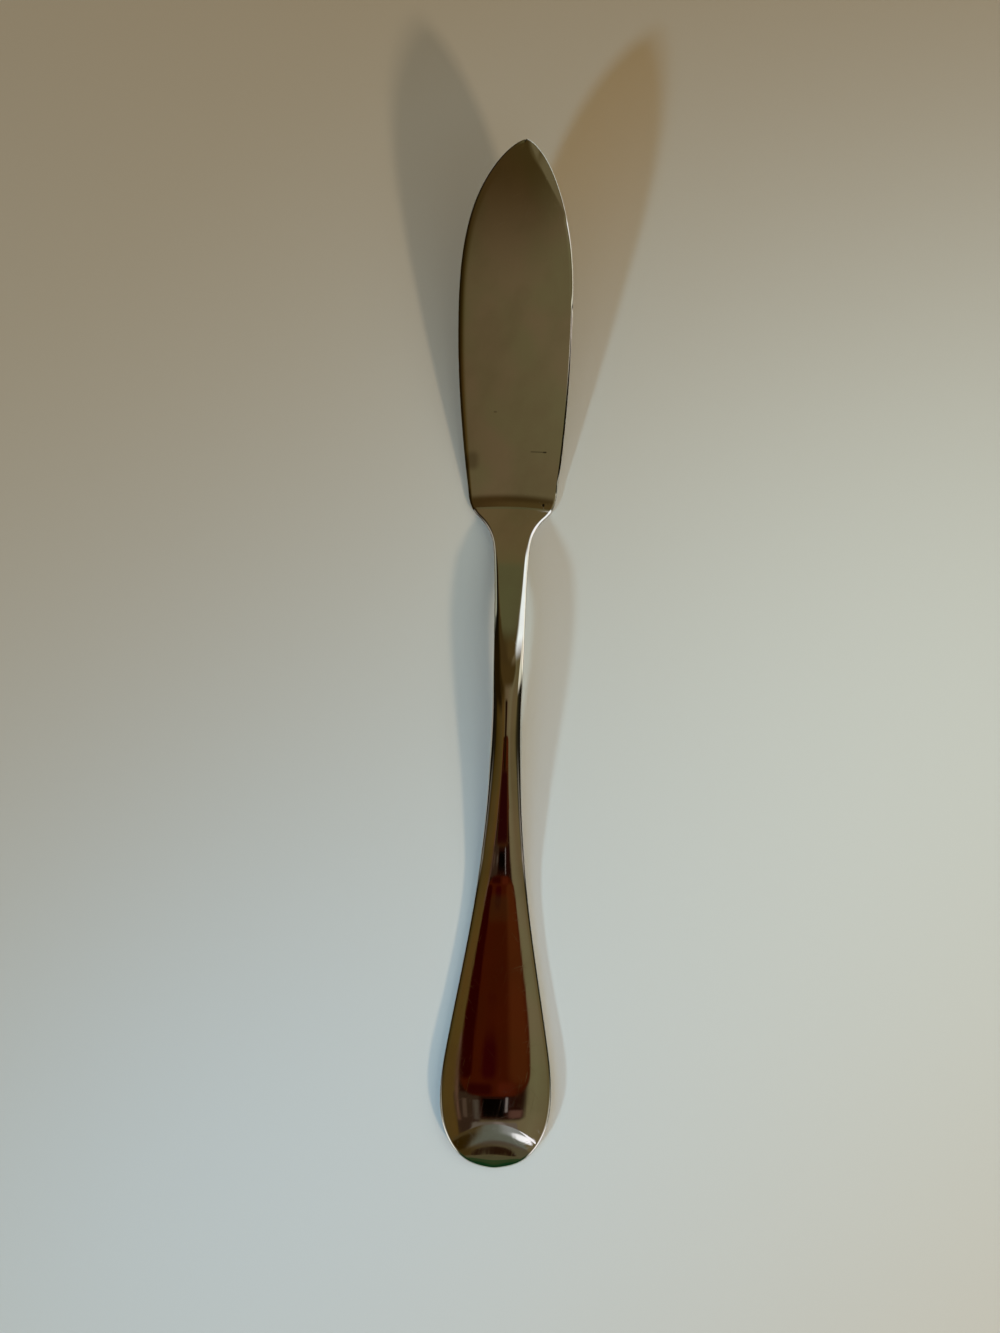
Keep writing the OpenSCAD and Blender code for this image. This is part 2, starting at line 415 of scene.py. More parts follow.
# %% Heights of the top
CREASE_WIDTH = 18.6
CREASE_SWEEP = 5
CREASE_ANGLE = 3.7
CREASE_DROP = 1.45
CREASE_LENGTH = 10
CREASE_SOFTNESS = 0.25
CREASE_BEND_POWER = 2.5


def turned_down(at, across):
    """How far the end lies below the handle's own top: the distance behind an arched crease,
    times the slope of the crease angle, plus a bend that grows with a power of the distance. A
    small softness rounds the crease itself."""
    fall = slope_of(CREASE_ANGLE)
    past = at - CREASE_AT - CREASE_SWEEP * (2 * across / CREASE_WIDTH) ** 2
    behind = (past + np.sqrt(past**2 + CREASE_SOFTNESS**2)) / 2
    bend = CREASE_DROP - CREASE_LENGTH * fall
    return behind * fall + bend * (behind / CREASE_LENGTH) ** CREASE_BEND_POWER


def top_height(across, at):
    """Height of the top on the middle line: the underside plus the thickness, and the heel's own
    table round the heel. The bend there is a bow: it lies further back towards the sides."""
    bow = HEEL_BOW * (across / HEEL_BOW_HALF_WIDTH) ** 2
    near = np.where((at > HEEL_BOWS[0][0]) & (at < ROOT_AT), curve(HEEL_BOWS, at), 0)
    seen_at = np.maximum(at - bow * near, TIP_AT)
    plain = curve(UNDERSIDE, seen_at) + curve(THICKNESSES, seen_at)
    heel = (seen_at > HEEL_TOP_FROM) & (seen_at < NECK_AT)
    return np.where(heel, curve(HEEL_TOPS, seen_at), plain)


# %% Heights of the two faces
def smooth_step(share):
    """0 below 0, 1 above 1, and three times the square less twice the cube between."""
    share = np.clip(share, 0, 1)
    return share**2 * (3 - 2 * share)


def faces_of_half(across, at, edges, powers, bevel):
    """Heights of the top and of the underside. Both leave the rim's height on an arc of the form
    (1 - (1 - distance / edge) ** p) ** (1 / p), where distance is that to the outline. A bevel
    lowers the top by its slope times the distance inside the bevel's inner line."""
    away = distance_to_outline(across, at)
    away[:, 0] = 0
    left = 1 - np.minimum(away / curve(edges, at), 1)
    power = curve(powers, at)
    turn = (1 - left**power) ** (1 / power)
    half = np.maximum(half_width(at), ALMOST_NOTHING)
    crown = curve(CROWNS, at) * (1 - np.minimum(across / half, 1) ** 2)
    low = curve(UNDERSIDE, at)
    high = top_height(across, at) + crown - turned_down(at, across)
    bevel_width = np.where(at < bevel[-1][0], curve(bevel, at), 0)
    inside = bevel_width - away
    past = (inside + np.sqrt(inside**2 + BEVEL_SOFTNESS**2)) / 2
    past = past * smooth_step(across / BEVEL_FADE) * np.clip(bevel_width / BEVEL_NARROW, 0, 1)
    high = high - BEVEL_SLOPE * past
    rim = low + curve(RIM_SHARES, at) * np.minimum(curve(THICKNESSES, at), high - low)
    return rim + turn * (high - rim), rim + turn * (low - rim)


# %% The whole knife as one ring of points for each row
def points_of(side, across, at, height):
    """Points in millimetres, the right side for side 1 and the left side for side -1."""
    x = side * across + curve(LEANS, at) + MIDDLE_ACROSS
    return np.stack([x, MIDDLE_AT - at, height], axis=-1)


across, at = half_grid()
right_heights = faces_of_half(across, at, RIGHT_EDGES, RIGHT_POWERS, BEVEL_WIDTHS)
left_heights = faces_of_half(across, at, LEFT_EDGES, LEFT_POWERS, NO_BEVEL)
right_top = points_of(1, across, at, right_heights[0])
left_top = points_of(-1, across, at, left_heights[0])
left_low = points_of(-1, across, at, left_heights[1])
right_low = points_of(1, across, at, right_heights[1])
ring = np.concatenate(
    [right_top, left_top[:, -2::-1], left_low[:, 1:], right_low[:, -2:0:-1]], axis=1
)
rows, columns = ring.shape[:2]
print("grid of", rows, "rows by", columns, "columns, up to", round(ring[..., 2].max(), 2), "mm high")

# %% [markdown]
# The first row and the last row are folded double on the middle line. Their left points are the
# same as their right points, so they share one index, and the surface has no slit there.
# Normals come from the whole knife before it is cut into its pieces. That way light runs over
# the cuts as if they weren't there, as it does on the one forging.

# %% Faces and normals of the whole knife
index = np.arange(rows * columns).reshape(rows, columns)
spine_top = across.shape[1] - 1
rim_left = 2 * spine_top
spine_low = 3 * spine_top
for row in (0, rows - 1):
    index[row, spine_top + 1 : rim_left + 1] = index[row, :spine_top][::-1]
    index[row, rim_left + 1 : spine_low] = index[row, spine_low + 1 :][::-1]

after = np.roll(index, -1, axis=1)
quads = np.stack([index[:-1], after[:-1], after[1:], index[1:]], axis=-1)
points = ring.reshape(-1, 3)


def face_normals(corners):
    """Area-weighted normals of four-cornered faces: the cross product of their diagonals."""
    return np.cross(corners[:, 2] - corners[:, 0], corners[:, 3] - corners[:, 1])


flat_quads = quads.reshape(-1, 4)
area_normals = face_normals(points[flat_quads])
normals = np.zeros_like(points)
for corner in range(4):
    np.add.at(normals, flat_quads[:, corner], area_normals)
normals /= np.maximum(np.linalg.norm(normals, axis=1, keepdims=True), NO_LENGTH)
facing = normals[index[rows // 2, spine_top]][2]
print("normal of the top at mid length points up:", bool(facing > 0))

# %% [markdown]
# ## The three pieces
#
# The maker speaks of a blade, a neck and a handle, and the library keeps them as three parts that
# meet face to face. Each piece takes its rows of the ring and closes its cut ends with flat strips.

# %% Make a mesh from rows of the ring
def cut_end(ring_index, flip):
    """Flat strips that close a cut: each joins two neighbours of the top to the two below them."""
    top_line = ring_index[: rim_left + 1]
    low_line = np.concatenate([ring_index[:1], ring_index[rim_left:][::-1]])
    strips = np.stack([top_line[:-1], top_line[1:], low_line[1:], low_line[:-1]], axis=-1)
    return strips[:, ::-1] if flip else strips


def steel_piece(name, first_row, last_row):
    """One length of the knife as a closed mesh, with the whole knife's normals on its skin."""
    skin = quads[first_row:last_row].reshape(-1, 4)
    ends = []
    if first_row > 0:
        ends.append(cut_end(index[first_row], True))
    if last_row < rows - 1:
        ends.append(cut_end(index[last_row], False))
    faces = np.concatenate([skin] + ends)
    used, faces = np.unique(faces, return_inverse=True)
    faces = faces.reshape(-1, 4)
    loops = [[c for i, c in enumerate(f) if c != f[i - 1]] for f in faces.tolist()]
    mesh = bpy.data.meshes.new(name)
    mesh.from_pydata(points[used] * MM, [], loops)
    mesh.shade_smooth()
    corner_count = np.array([len(f) for f in loops])
    corner_normals = normals[used][np.concatenate(loops)]
    corner_points = points[used][faces]
    flat = face_normals(corner_points)
    flat /= np.maximum(np.linalg.norm(flat, axis=1, keepdims=True), NO_LENGTH)
    is_end = np.repeat(np.arange(len(loops)) >= len(skin), corner_count)
    corner_normals[is_end] = np.repeat(flat, corner_count, axis=0)[is_end]
    mesh.normals_split_custom_set(corner_normals.tolist())
    piece = bpy.data.objects.new(name, mesh)
    bpy.context.scene.collection.objects.link(piece)
    print(name, "has", len(loops), "faces")
    return piece


row_of_root = int(np.argmin(abs(at[:, -1] - ROOT_AT)))
row_of_waist = int(np.argmin(abs(at[:, -1] - WAIST_AT)))
pieces = {
    "blade": steel_piece("polished_blade", 0, row_of_root),
    "neck": steel_piece("polished_neck", row_of_root, row_of_waist),
    "handle": steel_piece("polished_handle", row_of_waist, rows - 1),
}
for node, piece in pieces.items():
    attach(piece, "root")
    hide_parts(node)

# %% [markdown]
# ## Colours and nodes
#
# Colours are written as sRGB hex codes, the way a colour picker shows them, and one function turns
# them into the linear values that a renderer counts with. One more function adds any node with its
# settings and links.
#
# The marks on the steel and the room that it mirrors are both made of rounded boxes. Take the
# distance from the box's middle along both axes, subtract the half size less the corner's radius,
# and keep what is above zero. The length of the rest is the radius just on the box's edge. A smooth
# step over that length is the soft edge.

# %% Colour and node helpers
def srgb(hex_code):
    """Linear red, green and blue of an sRGB hex colour."""
    values = [int(hex_code[i : i + 2], 16) / 255 for i in (1, 3, 5)]
    return [v / 12.92 if v <= 0.04045 else ((v + 0.055) / 1.055) ** 2.4 for v in values]


def add_node(tree, kind, settings=None, inputs=None):
    """A new node with its settings, and with each input set to a value or linked to an output."""
    node = tree.nodes.new(kind)
    for key, value in (settings or {}).items():
        setattr(node, key, value)
    for key, value in (inputs or {}).items():
        if isinstance(value, bpy.types.NodeSocket):
            tree.links.new(value, node.inputs[key])
        else:
            node.inputs[key].default_value = value
    return node


def smooth_range(tree, value, zero_at, one_at):
    """A smooth step from 0 to 1 as the value goes from one place to another."""
    low, high = min(zero_at, one_at), max(zero_at, one_at)
    rising = one_at > zero_at
    return add_node(tree, "ShaderNodeMapRange", {"interpolation_type": "SMOOTHSTEP"}, {
        "Value": value, "From Min": low, "From Max": high, "To Min": 1 - rising, "To Max": int(rising),
    }).outputs["Result"]


def mixed(tree, share, first, second):
    """The first colour where the share is 0, the second where it is 1."""
    return add_node(tree, "ShaderNodeMix", {"data_type": "RGBA"}, {
        "Factor": share, "A": first, "B": second,
    }).outputs["Result"]


def counted(tree, operation, *numbers):
    """The result of a sum, a product or another operation on numbers."""
    node = add_node(tree, "ShaderNodeMath", {"operation": operation}, dict(enumerate(numbers)))
    return node.outputs["Value"]


def mixed_shaders(tree, share, first, second):
    """The first shader where the share is 0, the second where it is 1."""
    both = add_node(tree, "ShaderNodeMixShader", {}, {"Fac": share, 1: first, 2: second})
    return both.outputs["Shader"]


def flattened(tree, place):
    """The same place at a height of zero."""
    flat = add_node(tree, "ShaderNodeVectorMath", {"operation": "MULTIPLY"}, {0: place, 1: (1, 1, 0)})
    return flat.outputs["Vector"]


def soft_box(tree, place, left, right, near, far, radius, softness):
    """1 inside a rounded box in the plane of x and y, 0 outside, with a smooth step between. The
    place is in metres and flat; the box's sides, radius and softness are in millimetres."""
    middle = (MM * (left + right) / 2, MM * (near + far) / 2, 0)
    inner = (MM * ((right - left) / 2 - radius), MM * ((far - near) / 2 - radius), 1)
    spot = place
    for operation, operands in (
        ("SUBTRACT", {1: middle}),
        ("ABSOLUTE", {}),
        ("SUBTRACT", {1: inner}),
        ("MAXIMUM", {1: (0, 0, 0)}),
        ("LENGTH", {}),
    ):
        step = add_node(tree, "ShaderNodeVectorMath", {"operation": operation}, {0: spot, **operands})
        spot = step.outputs["Value" if operation == "LENGTH" else "Vector"]
    return smooth_range(tree, spot, MM * (radius + softness / 2), MM * (radius - softness / 2))


# %% [markdown]
# ## The steel
#
# The knife is stainless steel, ground, then polished lengthwise on soft wheels. Such a finish is a
# mirror with a faint warm grey of its own. A few things tell it from a computer's perfect mirror.
# The wheels leave shallow waves along the knife, which pull reflections into streaks. Years of
# washing leave hairlines, finer than a hair and every way round. And a wipe leaves dull clouds.
# The waves and the hairlines are a bump of one or two thousandths of a millimetre. The clouds are
# roughness. Hairlines are really about 0.01 mm wide, too fine for the picture, so they are drawn
# 0.12 mm wide.
#
# The steel's own colour drifts between a rosy and a greenish grey. And the blade has a few marks:
# a scratch with a dark end, a dot, a nick, and a darker patch beside the left edge.

# %% Mirror-polished stainless steel
# The mean colour, by which the room's colours are divided, and three that the surface mixes
STEEL = "#D3CEC6"
STEEL_ROSY = "#D8CDC9"
STEEL_GREENISH = "#CECFC2"
STEEL_CLOUDED = "#C6C0B6"
TINT_SIZE = 12
TINT_TURN = -15
TINT_STRETCH = 1.3
TINT_RANGE = (0.35, 0.65)
POLISH_WAVE_WIDTH = 0.9
POLISH_WAVE_LENGTH = 30
POLISH_DEPTH = 0.0016
HAIRLINE_WIDTH = 0.12
HAIRLINE_LENGTH = 7
HAIRLINE_DEPTH = 0.0008
HAIRLINE_ROUGHNESS = 0.14
HAIRLINE_RANGE = (0.71, 0.83)
HAIRLINE_TURNS = (12, -38, 71)
CLOUD_SIZE = 9
CLOUD_TURN = 20
CLOUD_STRETCH = 1.6
CLOUD_RANGE = (0.42, 0.78)
ROUGHNESS_CLEAR = 0.02
ROUGHNESS_CLOUDED = 0.07
# Single marks on the blade: name, left, right, near and far side, corner radius, softness, colour
MARKS = [
    # The first mark only makes the steel's colour darker beside the left edge.
    ("darker patch beside the left edge", -9.6, -7.2, 43.4, 46.8, 1.1, 1.6, "#AEA89C"),
    ("scratch across the right side", 3.6, 6.9, 47.04, 47.18, 0.06, 0.14, "#6E6759"),
    ("end of the scratch", 6.2, 6.8, 46.95, 47.2, 0.1, 0.2, "#554D3C"),
    ("dot", -4.2, -3.6, 54.55, 54.75, 0.1, 0.2, "#968E80"),
    ("nick", 6.4, 6.85, 36.2, 36.8, 0.2, 0.2, "#453D2F"),
]


def noise_in(tree, place, turn, width, length, detail):
    """Noise whose grains are so many millimetres wide across and long along a turned direction."""
    turned = add_node(tree, "ShaderNodeMapping", {}, {
        "Vector": place, "Rotation": (0, 0, math.radians(turn)),
    })
    squeezed = add_node(tree, "ShaderNodeVectorMath", {"operation": "MULTIPLY"}, {
        0: turned.outputs["Vector"], 1: (1 / (MM * width), 1 / (MM * length), 1 / (MM * length)),
    })
    return add_node(tree, "ShaderNodeTexNoise", {}, {
        "Vector": squeezed.outputs["Vector"], "Scale": 1, "Detail": detail, "Roughness": 0.5,
    }).outputs["Fac"]


def polished_steel(name):
    """Mirror-polished stainless steel with polishing waves, hairlines and wiped clouds."""
    material = bpy.data.materials.new(name)
    material.use_nodes = True
    tree = material.node_tree
    shader = tree.nodes["Principled BSDF"]
    shader.inputs["Metallic"].default_value = 1
    place = add_node(tree, "ShaderNodeTexCoord").outputs["Object"]
    flat = flattened(tree, place)
    cloud_noise = noise_in(tree, place, CLOUD_TURN, CLOUD_SIZE, CLOUD_STRETCH * CLOUD_SIZE, 4)
    clouds = smooth_range(tree, cloud_noise, *CLOUD_RANGE)
    tint_noise = noise_in(tree, place, TINT_TURN, TINT_SIZE, TINT_STRETCH * TINT_SIZE, 2)
    tint = smooth_range(tree, tint_noise, *TINT_RANGE)
    colour = mixed(tree, tint, srgb(STEEL_ROSY) + [1], srgb(STEEL_GREENISH) + [1])
    colour = mixed(tree, clouds, colour, srgb(STEEL_CLOUDED) + [1])
    for _, left, right, near, far, radius, softness, hex_code in MARKS:
        mark = soft_box(tree, flat, left, right, near, far, radius, softness)
        colour = mixed(tree, mark, colour, srgb(hex_code) + [1])
    tree.links.new(colour, shader.inputs["Base Color"])
    roughness = add_node(tree, "ShaderNodeMapRange", {}, {
        "Value": clouds, "To Min": ROUGHNESS_CLEAR, "To Max": ROUGHNESS_CLOUDED,
    }).outputs["Result"]
    height = noise_in(tree, place, 0, POLISH_WAVE_WIDTH, POLISH_WAVE_LENGTH, 2)
    bump = add_node(tree, "ShaderNodeBump", {}, {"Height": height, "Distance": POLISH_DEPTH * MM})
    for turn in HAIRLINE_TURNS:
        line_noise = noise_in(tree, place, turn, HAIRLINE_WIDTH, HAIRLINE_LENGTH, 1)
        lines = smooth_range(tree, line_noise, *HAIRLINE_RANGE)
        roughness = counted(tree, "MULTIPLY_ADD", lines, HAIRLINE_ROUGHNESS, roughness)
        bump = add_node(tree, "ShaderNodeBump", {}, {
            "Height": lines, "Distance": HAIRLINE_DEPTH * MM, "Normal": bump.outputs["Normal"],
        })
    tree.links.new(roughness, shader.inputs["Roughness"])
    tree.links.new(bump.outputs["Normal"], shader.inputs["Normal"])
    return material


for node, piece in pieces.items():
    piece.data.materials.append(polished_steel("mirror_polished_stainless_steel_" + node))
    print(piece.name, "is", piece.data.materials[0].name)

# %% [markdown]
# ## The table
#
# A wide matt table, white with a breath of green. Matt paint scatters light evenly, so its gloss
# is switched off. The lamps reach only the part round the knife. Further out, seen from the side,
# the table would sink into the dark, so there it fades into the pale backdrop, for the camera and
# for what the steel mirrors. Everything matt is still lit by the real paint.

# %% Table
TABLE_PAINT = "#CECEC9"
TABLE_ROUGHNESS = 0.8
TABLE_REACH = 4
FADE_FROM = 0.18
FADE_TO = 0.46
PALE_GREY = "#C9C9C2"


def flat_square(name, reach, height, upwards):
    """A square face round the middle, in metres, which looks up or down."""
    mesh = bpy.data.meshes.new(name)
    corners = [(x * reach, y * reach, height) for x, y in ((-1, -1), (1, -1), (1, 1), (-1, 1))]
    mesh.from_pydata(corners, [], [(0, 1, 2, 3) if upwards else (0, 3, 2, 1)])
    square = bpy.data.objects.new(name, mesh)
    bpy.context.scene.collection.objects.link(square)
    return square


def table_paint():
    """Matt paint near the knife, and pale plain light far from it for camera and mirrors."""
    material = bpy.data.materials.new("matt_white_table_paint")
    material.use_nodes = True
    tree = material.node_tree
    shader = tree.nodes["Principled BSDF"]
    shader.inputs["Base Color"].default_value = srgb(TABLE_PAINT) + [1]
    shader.inputs["Roughness"].default_value = TABLE_ROUGHNESS
    shader.inputs["Specular IOR Level"].default_value = 0
    place = add_node(tree, "ShaderNodeTexCoord").outputs["Object"]
    away = add_node(tree, "ShaderNodeVectorMath", {"operation": "LENGTH"}, {0: place}).outputs["Value"]
    rays = add_node(tree, "ShaderNodeLightPath").outputs
    seen = counted(tree, "MAXIMUM", rays["Is Camera Ray"], rays["Is Glossy Ray"])
    share = counted(tree, "MULTIPLY", smooth_range(tree, away, FADE_FROM, FADE_TO), seen)
    pale = add_node(tree, "ShaderNodeEmission", {}, {"Color": srgb(PALE_GREY) + [1]})
    both = mixed_shaders(tree, share, shader.outputs["BSDF"], pale.outputs["Emission"])
    tree.links.new(both, tree.nodes["Material Output"].inputs["Surface"])
    return material


floor = flat_square("floor", TABLE_REACH, 0, True)
floor.data.materials.append(table_paint())
print("the table reaches", TABLE_REACH, "m and fades between", FADE_FROM, "and", FADE_TO, "m")

# %% [markdown]
# ## The room in the mirror
#
# A mirror without a room is black. The room here is painted on two thin panes that hang over the
# table and that only reflections can see. A pane at a height of 300 mm holds soft-cornered patches
# of colour over a ground that runs from dark walls at both sides to olive grey in the middle.
# Because it is near, the blade and the handle see different parts of it, as they would in a
# kitchen, where a ceiling, a window and a red-brown cloth all lie in different directions. A sky
# far away could not do that.
#
# A second, clear pane hangs only 60 mm over the table. It holds three dark strips that lie over the
# neck and the stem. On the high pane they would also cut through what the blade shows, because the
# neck and the blade look at the same places there. A low pane is seen by what lies just under it.
#
# The colours are those seen in the steel. The steel takes a share of each, so they are divided by
# the steel's own colour.

# %% Rounded patches of colour on a pane
PANE_HEIGHT = 300
PANE_REACH = 640
PANE_FADE = 160
LOW_PANE_HEIGHT = 60
LOW_PANE_REACH = 120
# The ground of the high pane, from the left to the right
ACROSS_THE_ROOM = [
    (-640, "#120D05"),
    (-330, "#1A1307"),
    (-230, "#3A2C0C"),
    (-110, "#46381A"),
    (-68, "#4E3A17"),
    (-45, "#4C4024"),
    (-20, "#564930"),
    (15, "#5C5036"),
    (70, "#625A3E"),
    (110, "#5A4E33"),
    (210, "#5A4F31"),
    (300, "#2A2413"),
    (640, "#100D06"),
]
# Name, left, right, near and far side, corner radius, softness, colour; all in millimetres
PATCHES = [
    ("olive far side", -640, 640, 280, 640, 60, 60, "#574A2E"),
    ("dark left of the blade", -640, -48, -40, 320, 40, 60, "#291D08"),
    ("black left of the heel", -640, -105, -62, 90, 20, 50, "#1A1003"),
    ("dark over the tip", -75, 28, 10, 110, 24, 36, "#392B13"),
    ("softer light in the dark", -4, 40, 44, 84, 14, 24, "#46371B"),
    ("brown beside the tip", 30, 62, 24, 52, 8, 8, "#5E5138"),
    ("grey-olive passage", -26, 26, 85, 300, 16, 30, "#504A2F"),
    ("near-black left of the neck", -640, -85, 68, 300, 40, 70, "#0C0803"),
    ("dark far left", -640, -200, 230, 640, 60, 100, "#080502"),
    ("window on the right", 52, 640, 56, 330, 22, 44, "#F2F4F2"),
    ("window sill", 240, 640, -34, 80, 20, 36, "#CFC8B4"),
    ("window on the far right", 150, 460, 300, 560, 30, 56, "#E6E6DE"),
    ("soft light, near left", -600, -230, -600, -250, 80, 120, "#8C8678"),
    ("soft light, near right", 230, 600, -600, -250, 80, 120, "#A39D8E"),
    ("soft light, far left", -640, -190, 130, 640, 60, 90, "#9A9585"),
    ("dark under the cloth", -62, 54, -292, -180, 10, 12, "#1E0A04"),
    ("left post", -66, -24, -330, -206, 4, 6, "#2E2015"),
    ("left post, light line", -53, -46, -290, -222, 3, 4, "#46362A"),
    ("pink line", -64, -59, -300, -150, 2.4, 4, "#553D2E"),
    ("black middle", -19, 19, -283, -220, 3, 4, "#040201"),
    ("red-brown cloth", -60, 60, -211, -112, 36, 5, "#350F02"),
    ("cloth, lit side", 24, 57, -192, -118, 14, 14, "#421C07"),
    ("cloth, dark side", -59, -38, -186, -116, 9, 6, "#230201"),
    ("cloth, fold", -22, 2, -186, -152, 9, 12, "#290303"),
    ("cloth, dark hem", -44, -4, -209, -192, 6, 10, "#250402"),
    ("cloth, light hem", 6, 34, -208, -190, 6, 10, "#411607"),
    ("light post left", -34, -25, -292, -226, 3, 5, "#433A30"),
    ("light post right", 20, 23, -268, -214, 1.6, 2, "#7A736C"),
    ("pink corner", 27, 50, -286, -262, 5, 8, "#4E352A"),
    ("window below", -38, 44, -352, -298, 8, 5, "#595044"),
    ("window below, bright edge", 2, 18, -340, -299, 5, 8, "#70665E"),
    ("window below, grey", -10, 30, -442, -346, 10, 12, "#5A5C50"),
    ("window below, pale", 9, 46, -402, -338, 10, 12, "#7E807A"),
    ("white pane", 40, 86, -390, -338, 8, 8, "#F6F6F4"),
    ("white pane, low", 19, 46, -410, -386, 6, 8, "#F6F6F4"),
    ("brown foot, left", -80, -11, -392, -336, 8, 10, "#43361D"),
    ("dark foot, left", -80, -11, -452, -388, 8, 10, "#2B1D04"),
    ("band under the window", -3, 30, -458, -434, 8, 10, "#4A3F33"),
    ("brown foot", -80, 1, -504, -446, 10, 12, "#3C2E12"),
    ("olive foot", 6, 60, -504, -444, 8, 10, "#4C4530"),
    ("red band", 0, 7, -500, -462, 3, 5, "#1E0C04"),
    ("line over the green", -60, 60, -530, -503, 8, 8, "#48432E"),
    ("green floor", -80, 90, -640, -528, 14, 10, "#12341A"),
]
LOW_PATCHES = [
    ("brown under the arch", -13, 15, -2, 9, 4, 5, "#3C2D13"),
    ("dark strip over the neck", -6, 1.5, -48, -9, 2, 3, "#190A02"),
    ("dark red over the stem", -9.5, 8, -67, -47, 3, 4, "#210504"),
]


def mirrored(hex_code):
    """What must be in the room for the steel to show this colour."""
    return [seen / own for seen, own in zip(srgb(hex_code), srgb(STEEL))] + [1]


def ramp_of(tree, value, low, high, stops):
    """A colour for each value between low and high, straight between stops of value and colour."""
    share = add_node(tree, "ShaderNodeMapRange", {}, {
        "Value": value, "From Min": low, "From Max": high,
    }).outputs["Result"]
    ramp_node = add_node(tree, "ShaderNodeValToRGB", {}, {"Fac": share})
    elements = ramp_node.color_ramp.elements
    while len(elements) < len(stops):
        elements.new(0.5)
    for element, (stop, hex_code) in zip(elements, stops):
        element.position = (stop - low) / (high - low)
        element.color = mirrored(hex_code)
    return ramp_node.outputs["Color"]


def only_in_mirrors(thing):
    """Hide a thing from everything but reflections."""
    thing.visible_camera = False
    thing.visible_diffuse = False
    thing.visible_shadow = False
    thing.visible_transmission = False
    thing.visible_volume_scatter = False


# %% The two panes
def pane(name, height, reach, fade, patches, ground):
    """A square pane of painted light: clear at its sides, or with no ground clear between its
    patches. Each patch covers what is under it, as paint does."""
    square = flat_square(name, reach * MM, height * MM, False)
    material = bpy.data.materials.new(name)
    material.use_nodes = True
    tree = material.node_tree
    tree.nodes.clear()
    flat = flattened(tree, add_node(tree, "ShaderNodeTexCoord").outputs["Object"])
    if ground:
        x = add_node(tree, "ShaderNodeSeparateXYZ", {}, {"Vector": flat}).outputs["X"]
        stops = [(stop * MM, hex_code) for stop, hex_code in ground]
        colour = ramp_of(tree, x, -reach * MM, reach * MM, stops)
        inner = reach - fade / 2
        shown = soft_box(tree, flat, -inner, inner, -inner, inner, fade / 2, fade)
    else:
        colour = mirrored(patches[0][-1])
        shown = 0
    for _, left, right, near, far, radius, softness, hex_code in patches:
        mask = soft_box(tree, flat, left, right, near, far, radius, softness)
        colour = mixed(tree, mask, colour, mirrored(hex_code))
        if not ground:
            shown = counted(tree, "MAXIMUM", shown, mask)
    clear = add_node(tree, "ShaderNodeBsdfTransparent").outputs["BSDF"]
    light = add_node(tree, "ShaderNodeEmission", {}, {"Color": colour}).outputs["Emission"]
    both = mixed_shaders(tree, shown, clear, light)
    add_node(tree, "ShaderNodeOutputMaterial", {}, {"Surface": both})
    square.data.materials.append(material)
    only_in_mirrors(square)
    print(name, "hangs at", height, "mm and has", len(patches), "patches")


pane("painted_room", PANE_HEIGHT, PANE_REACH, PANE_FADE, PATCHES, ACROSS_THE_ROOM)
pane("dark_strips_over_the_neck", LOW_PANE_HEIGHT, LOW_PANE_REACH, 0, LOW_PATCHES, None)

# %% [markdown]
# ## The sky
#
# Behind the panes lies what the rims of the knife see: the far walls. They are nearly black far to
# the left and to the right, which draws the dark line round the knife, and lighter between, so the
# steel still shines from the side. A few places glow, such as a window beyond the tip, which gives
# the blade's right edge its white glint. Reflections see these walls, the camera sees plain pale
# grey, and everything matt gets one even warm fill.

# %% World
WALLS = [
    (-1, "#0C0804"),
    (-0.88, "#14100A"),
    (-0.76, "#5A5140"),
    (-0.5, "#8A8374"),
    (-0.2, "#5E5440"),
    (0, "#4C4027"),
    (0.3, "#6A6250"),
    (0.55, "#9A9486"),
    (0.76, "#6A6352"),
    (0.88, "#1A160E"),
    (1, "#0E0C06"),
]
# Name, direction, where the light begins and is full (cosine of the angle), fading height, colour
FAR_PLACES = [
    ("green floor", (0, -1, 0.25), 0.92, 0.97, 0.5, 0.7, "#0F2C14"),
    ("window beyond the tip", (0.88, 0.3, 0.2), 0.92, 0.945, 0.45, 0.6, "#FFF6E2"),
    ("light at the foot, right", (0.5, -0.8, 0.25), 0.95, 0.985, 0.5, 0.6, "#F0EEE6"),
    ("light at the foot, left", (-0.55, -0.8, 0.25), 0.95, 0.985, 0.5, 0.6, "#F0EEE6"),
]
FILL = "#84652A"

world = bpy.data.worlds.new("room")
bpy.context.scene.world = world
world.use_nodes = True
sky = world.node_tree
sky.nodes.clear()
way = add_node(sky, "ShaderNodeTexCoord").outputs["Generated"]
ways = add_node(sky, "ShaderNodeSeparateXYZ", {}, {"Vector": way}).outputs
walls = ramp_of(sky, ways["X"], -1, 1, WALLS)
for _, direction, begin, full, low, high, hex_code in FAR_PLACES:
    length = math.sqrt(sum(c * c for c in direction))
    near_it = add_node(sky, "ShaderNodeVectorMath", {"operation": "DOT_PRODUCT"}, {
        0: way, 1: [c / length for c in direction],
    }).outputs["Value"]
    glow = smooth_range(sky, near_it, begin, full)
    low_enough = smooth_range(sky, ways["Z"], high, low)
    walls = mixed(sky, counted(sky, "MULTIPLY", glow, low_enough), walls, mirrored(hex_code))
rays = add_node(sky, "ShaderNodeLightPath").outputs
fill = add_node(sky, "ShaderNodeBackground", {}, {"Color": srgb(FILL) + [1]}).outputs["Background"]
far_walls = add_node(sky, "ShaderNodeBackground", {}, {"Color": walls}).outputs["Background"]
backdrop = add_node(sky, "ShaderNodeBackground", {}, {"Color": srgb(PALE_GREY) + [1]})
for_mirrors = mixed_shaders(sky, rays["Is Glossy Ray"], fill, far_walls)
for_camera = mixed_shaders(sky, rays["Is Camera Ray"], for_mirrors, backdrop.outputs["Background"])
add_node(sky, "ShaderNodeOutputWorld", {}, {"Surface": for_camera})
print("the walls have", len(WALLS), "stops and", len(FAR_PLACES), "glowing places")

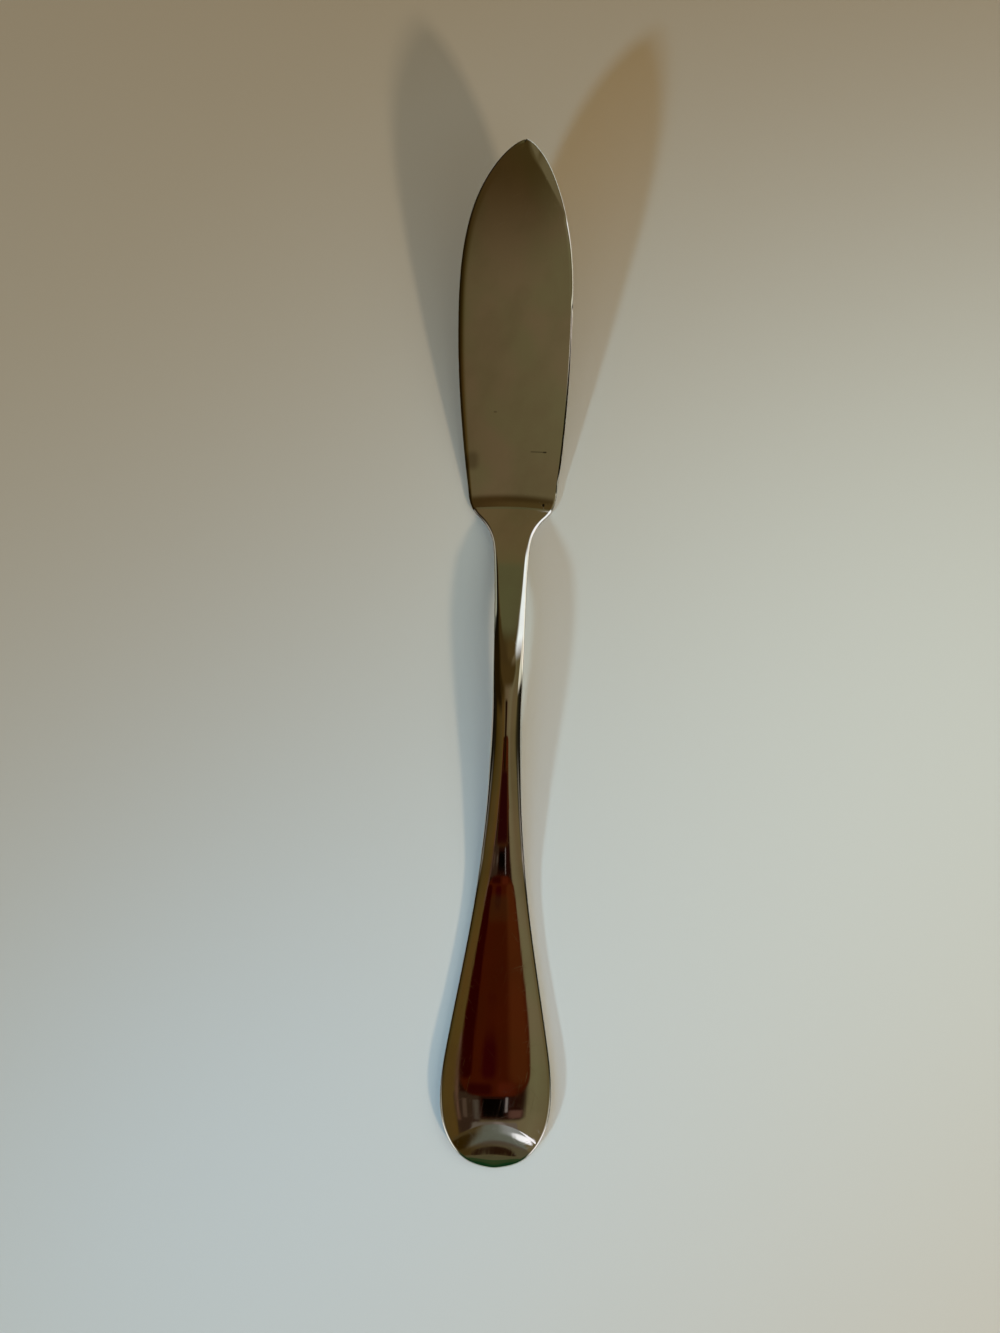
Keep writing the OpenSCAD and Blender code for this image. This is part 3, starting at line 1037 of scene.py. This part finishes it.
# %% [markdown]
# ## The lamps
#
# Two lamps behind the foot of the knife, a warm one on the right and a cool one on the left, throw
# the two soft shadows that fan out beside the blade. Two wide weak lamps hang low over the table
# and brighten its middle and its near end. The steel does not mirror the lamps: what it mirrors is
# painted on the panes.

# %% Lamps
# Name, place, target and size in metres, colour, watts
LAMPS = [
    ("warm_lamp", (0.3675, -0.4711, 0.3654), (0, 0, 0), 0.055, "#FFE0B8", 1.664),
    ("cool_lamp", (-0.4095, -0.441, 0.3577), (0, 0, 0), 0.055, "#C2ECFF", 1.876),
    ("table_lamp_right", (0.12, 0, 0.15), (0.15, -0.1, 0), 0.2, "#DBF7FF", 0.175),
    ("table_lamp_left", (-0.05, -0.1, 0.15), (0.05, -0.2, 0), 0.15, "#89CAFF", 0.121),
]


def softbox(name, place, target, size, hex_code, watts):
    """A square lamp that looks at a target and that neither the camera nor the steel sees."""
    light = bpy.data.lights.new(name, "AREA")
    light.size = size
    light.color = srgb(hex_code)
    light.energy = watts
    lamp = bpy.data.objects.new(name, light)
    lamp.location = place
    aim = mathutils.Vector(target) - mathutils.Vector(place)
    lamp.rotation_euler = aim.to_track_quat("-Z", "Y").to_euler()
    lamp.visible_camera = False
    lamp.visible_glossy = False
    bpy.context.scene.collection.objects.link(lamp)
    print(name, "gives", watts, "watts from", round(aim.length, 2), "m")


for lamp_row in LAMPS:
    softbox(*lamp_row)

# %% [markdown]
# ## The camera
#
# The photograph looks straight down from 211 mm over the table, turned by less than two degrees.
# A phone's main camera sees about 67 degrees along the picture's long side.

# %% Camera
CAMERA_PLACE = (-0.00143, 0.002645, 0.211)
CAMERA_TURN = 1.681
LENS = 27.15
SENSOR_WIDTH = 36
NEAREST_SEEN = 0.01
camera_data = bpy.data.cameras.new("camera")
camera_data.lens = LENS
camera_data.sensor_width = SENSOR_WIDTH
camera_data.clip_start = NEAREST_SEEN
camera = bpy.data.objects.new("camera", camera_data)
camera.location = CAMERA_PLACE
camera.rotation_euler = (0, 0, math.radians(CAMERA_TURN))
bpy.context.scene.collection.objects.link(camera)
bpy.context.scene.camera = camera
bpy.context.scene.view_settings.view_transform = "Standard"
print("the camera looks down from", round(1000 * CAMERA_PLACE[2]), "mm with a lens of", LENS, "mm")
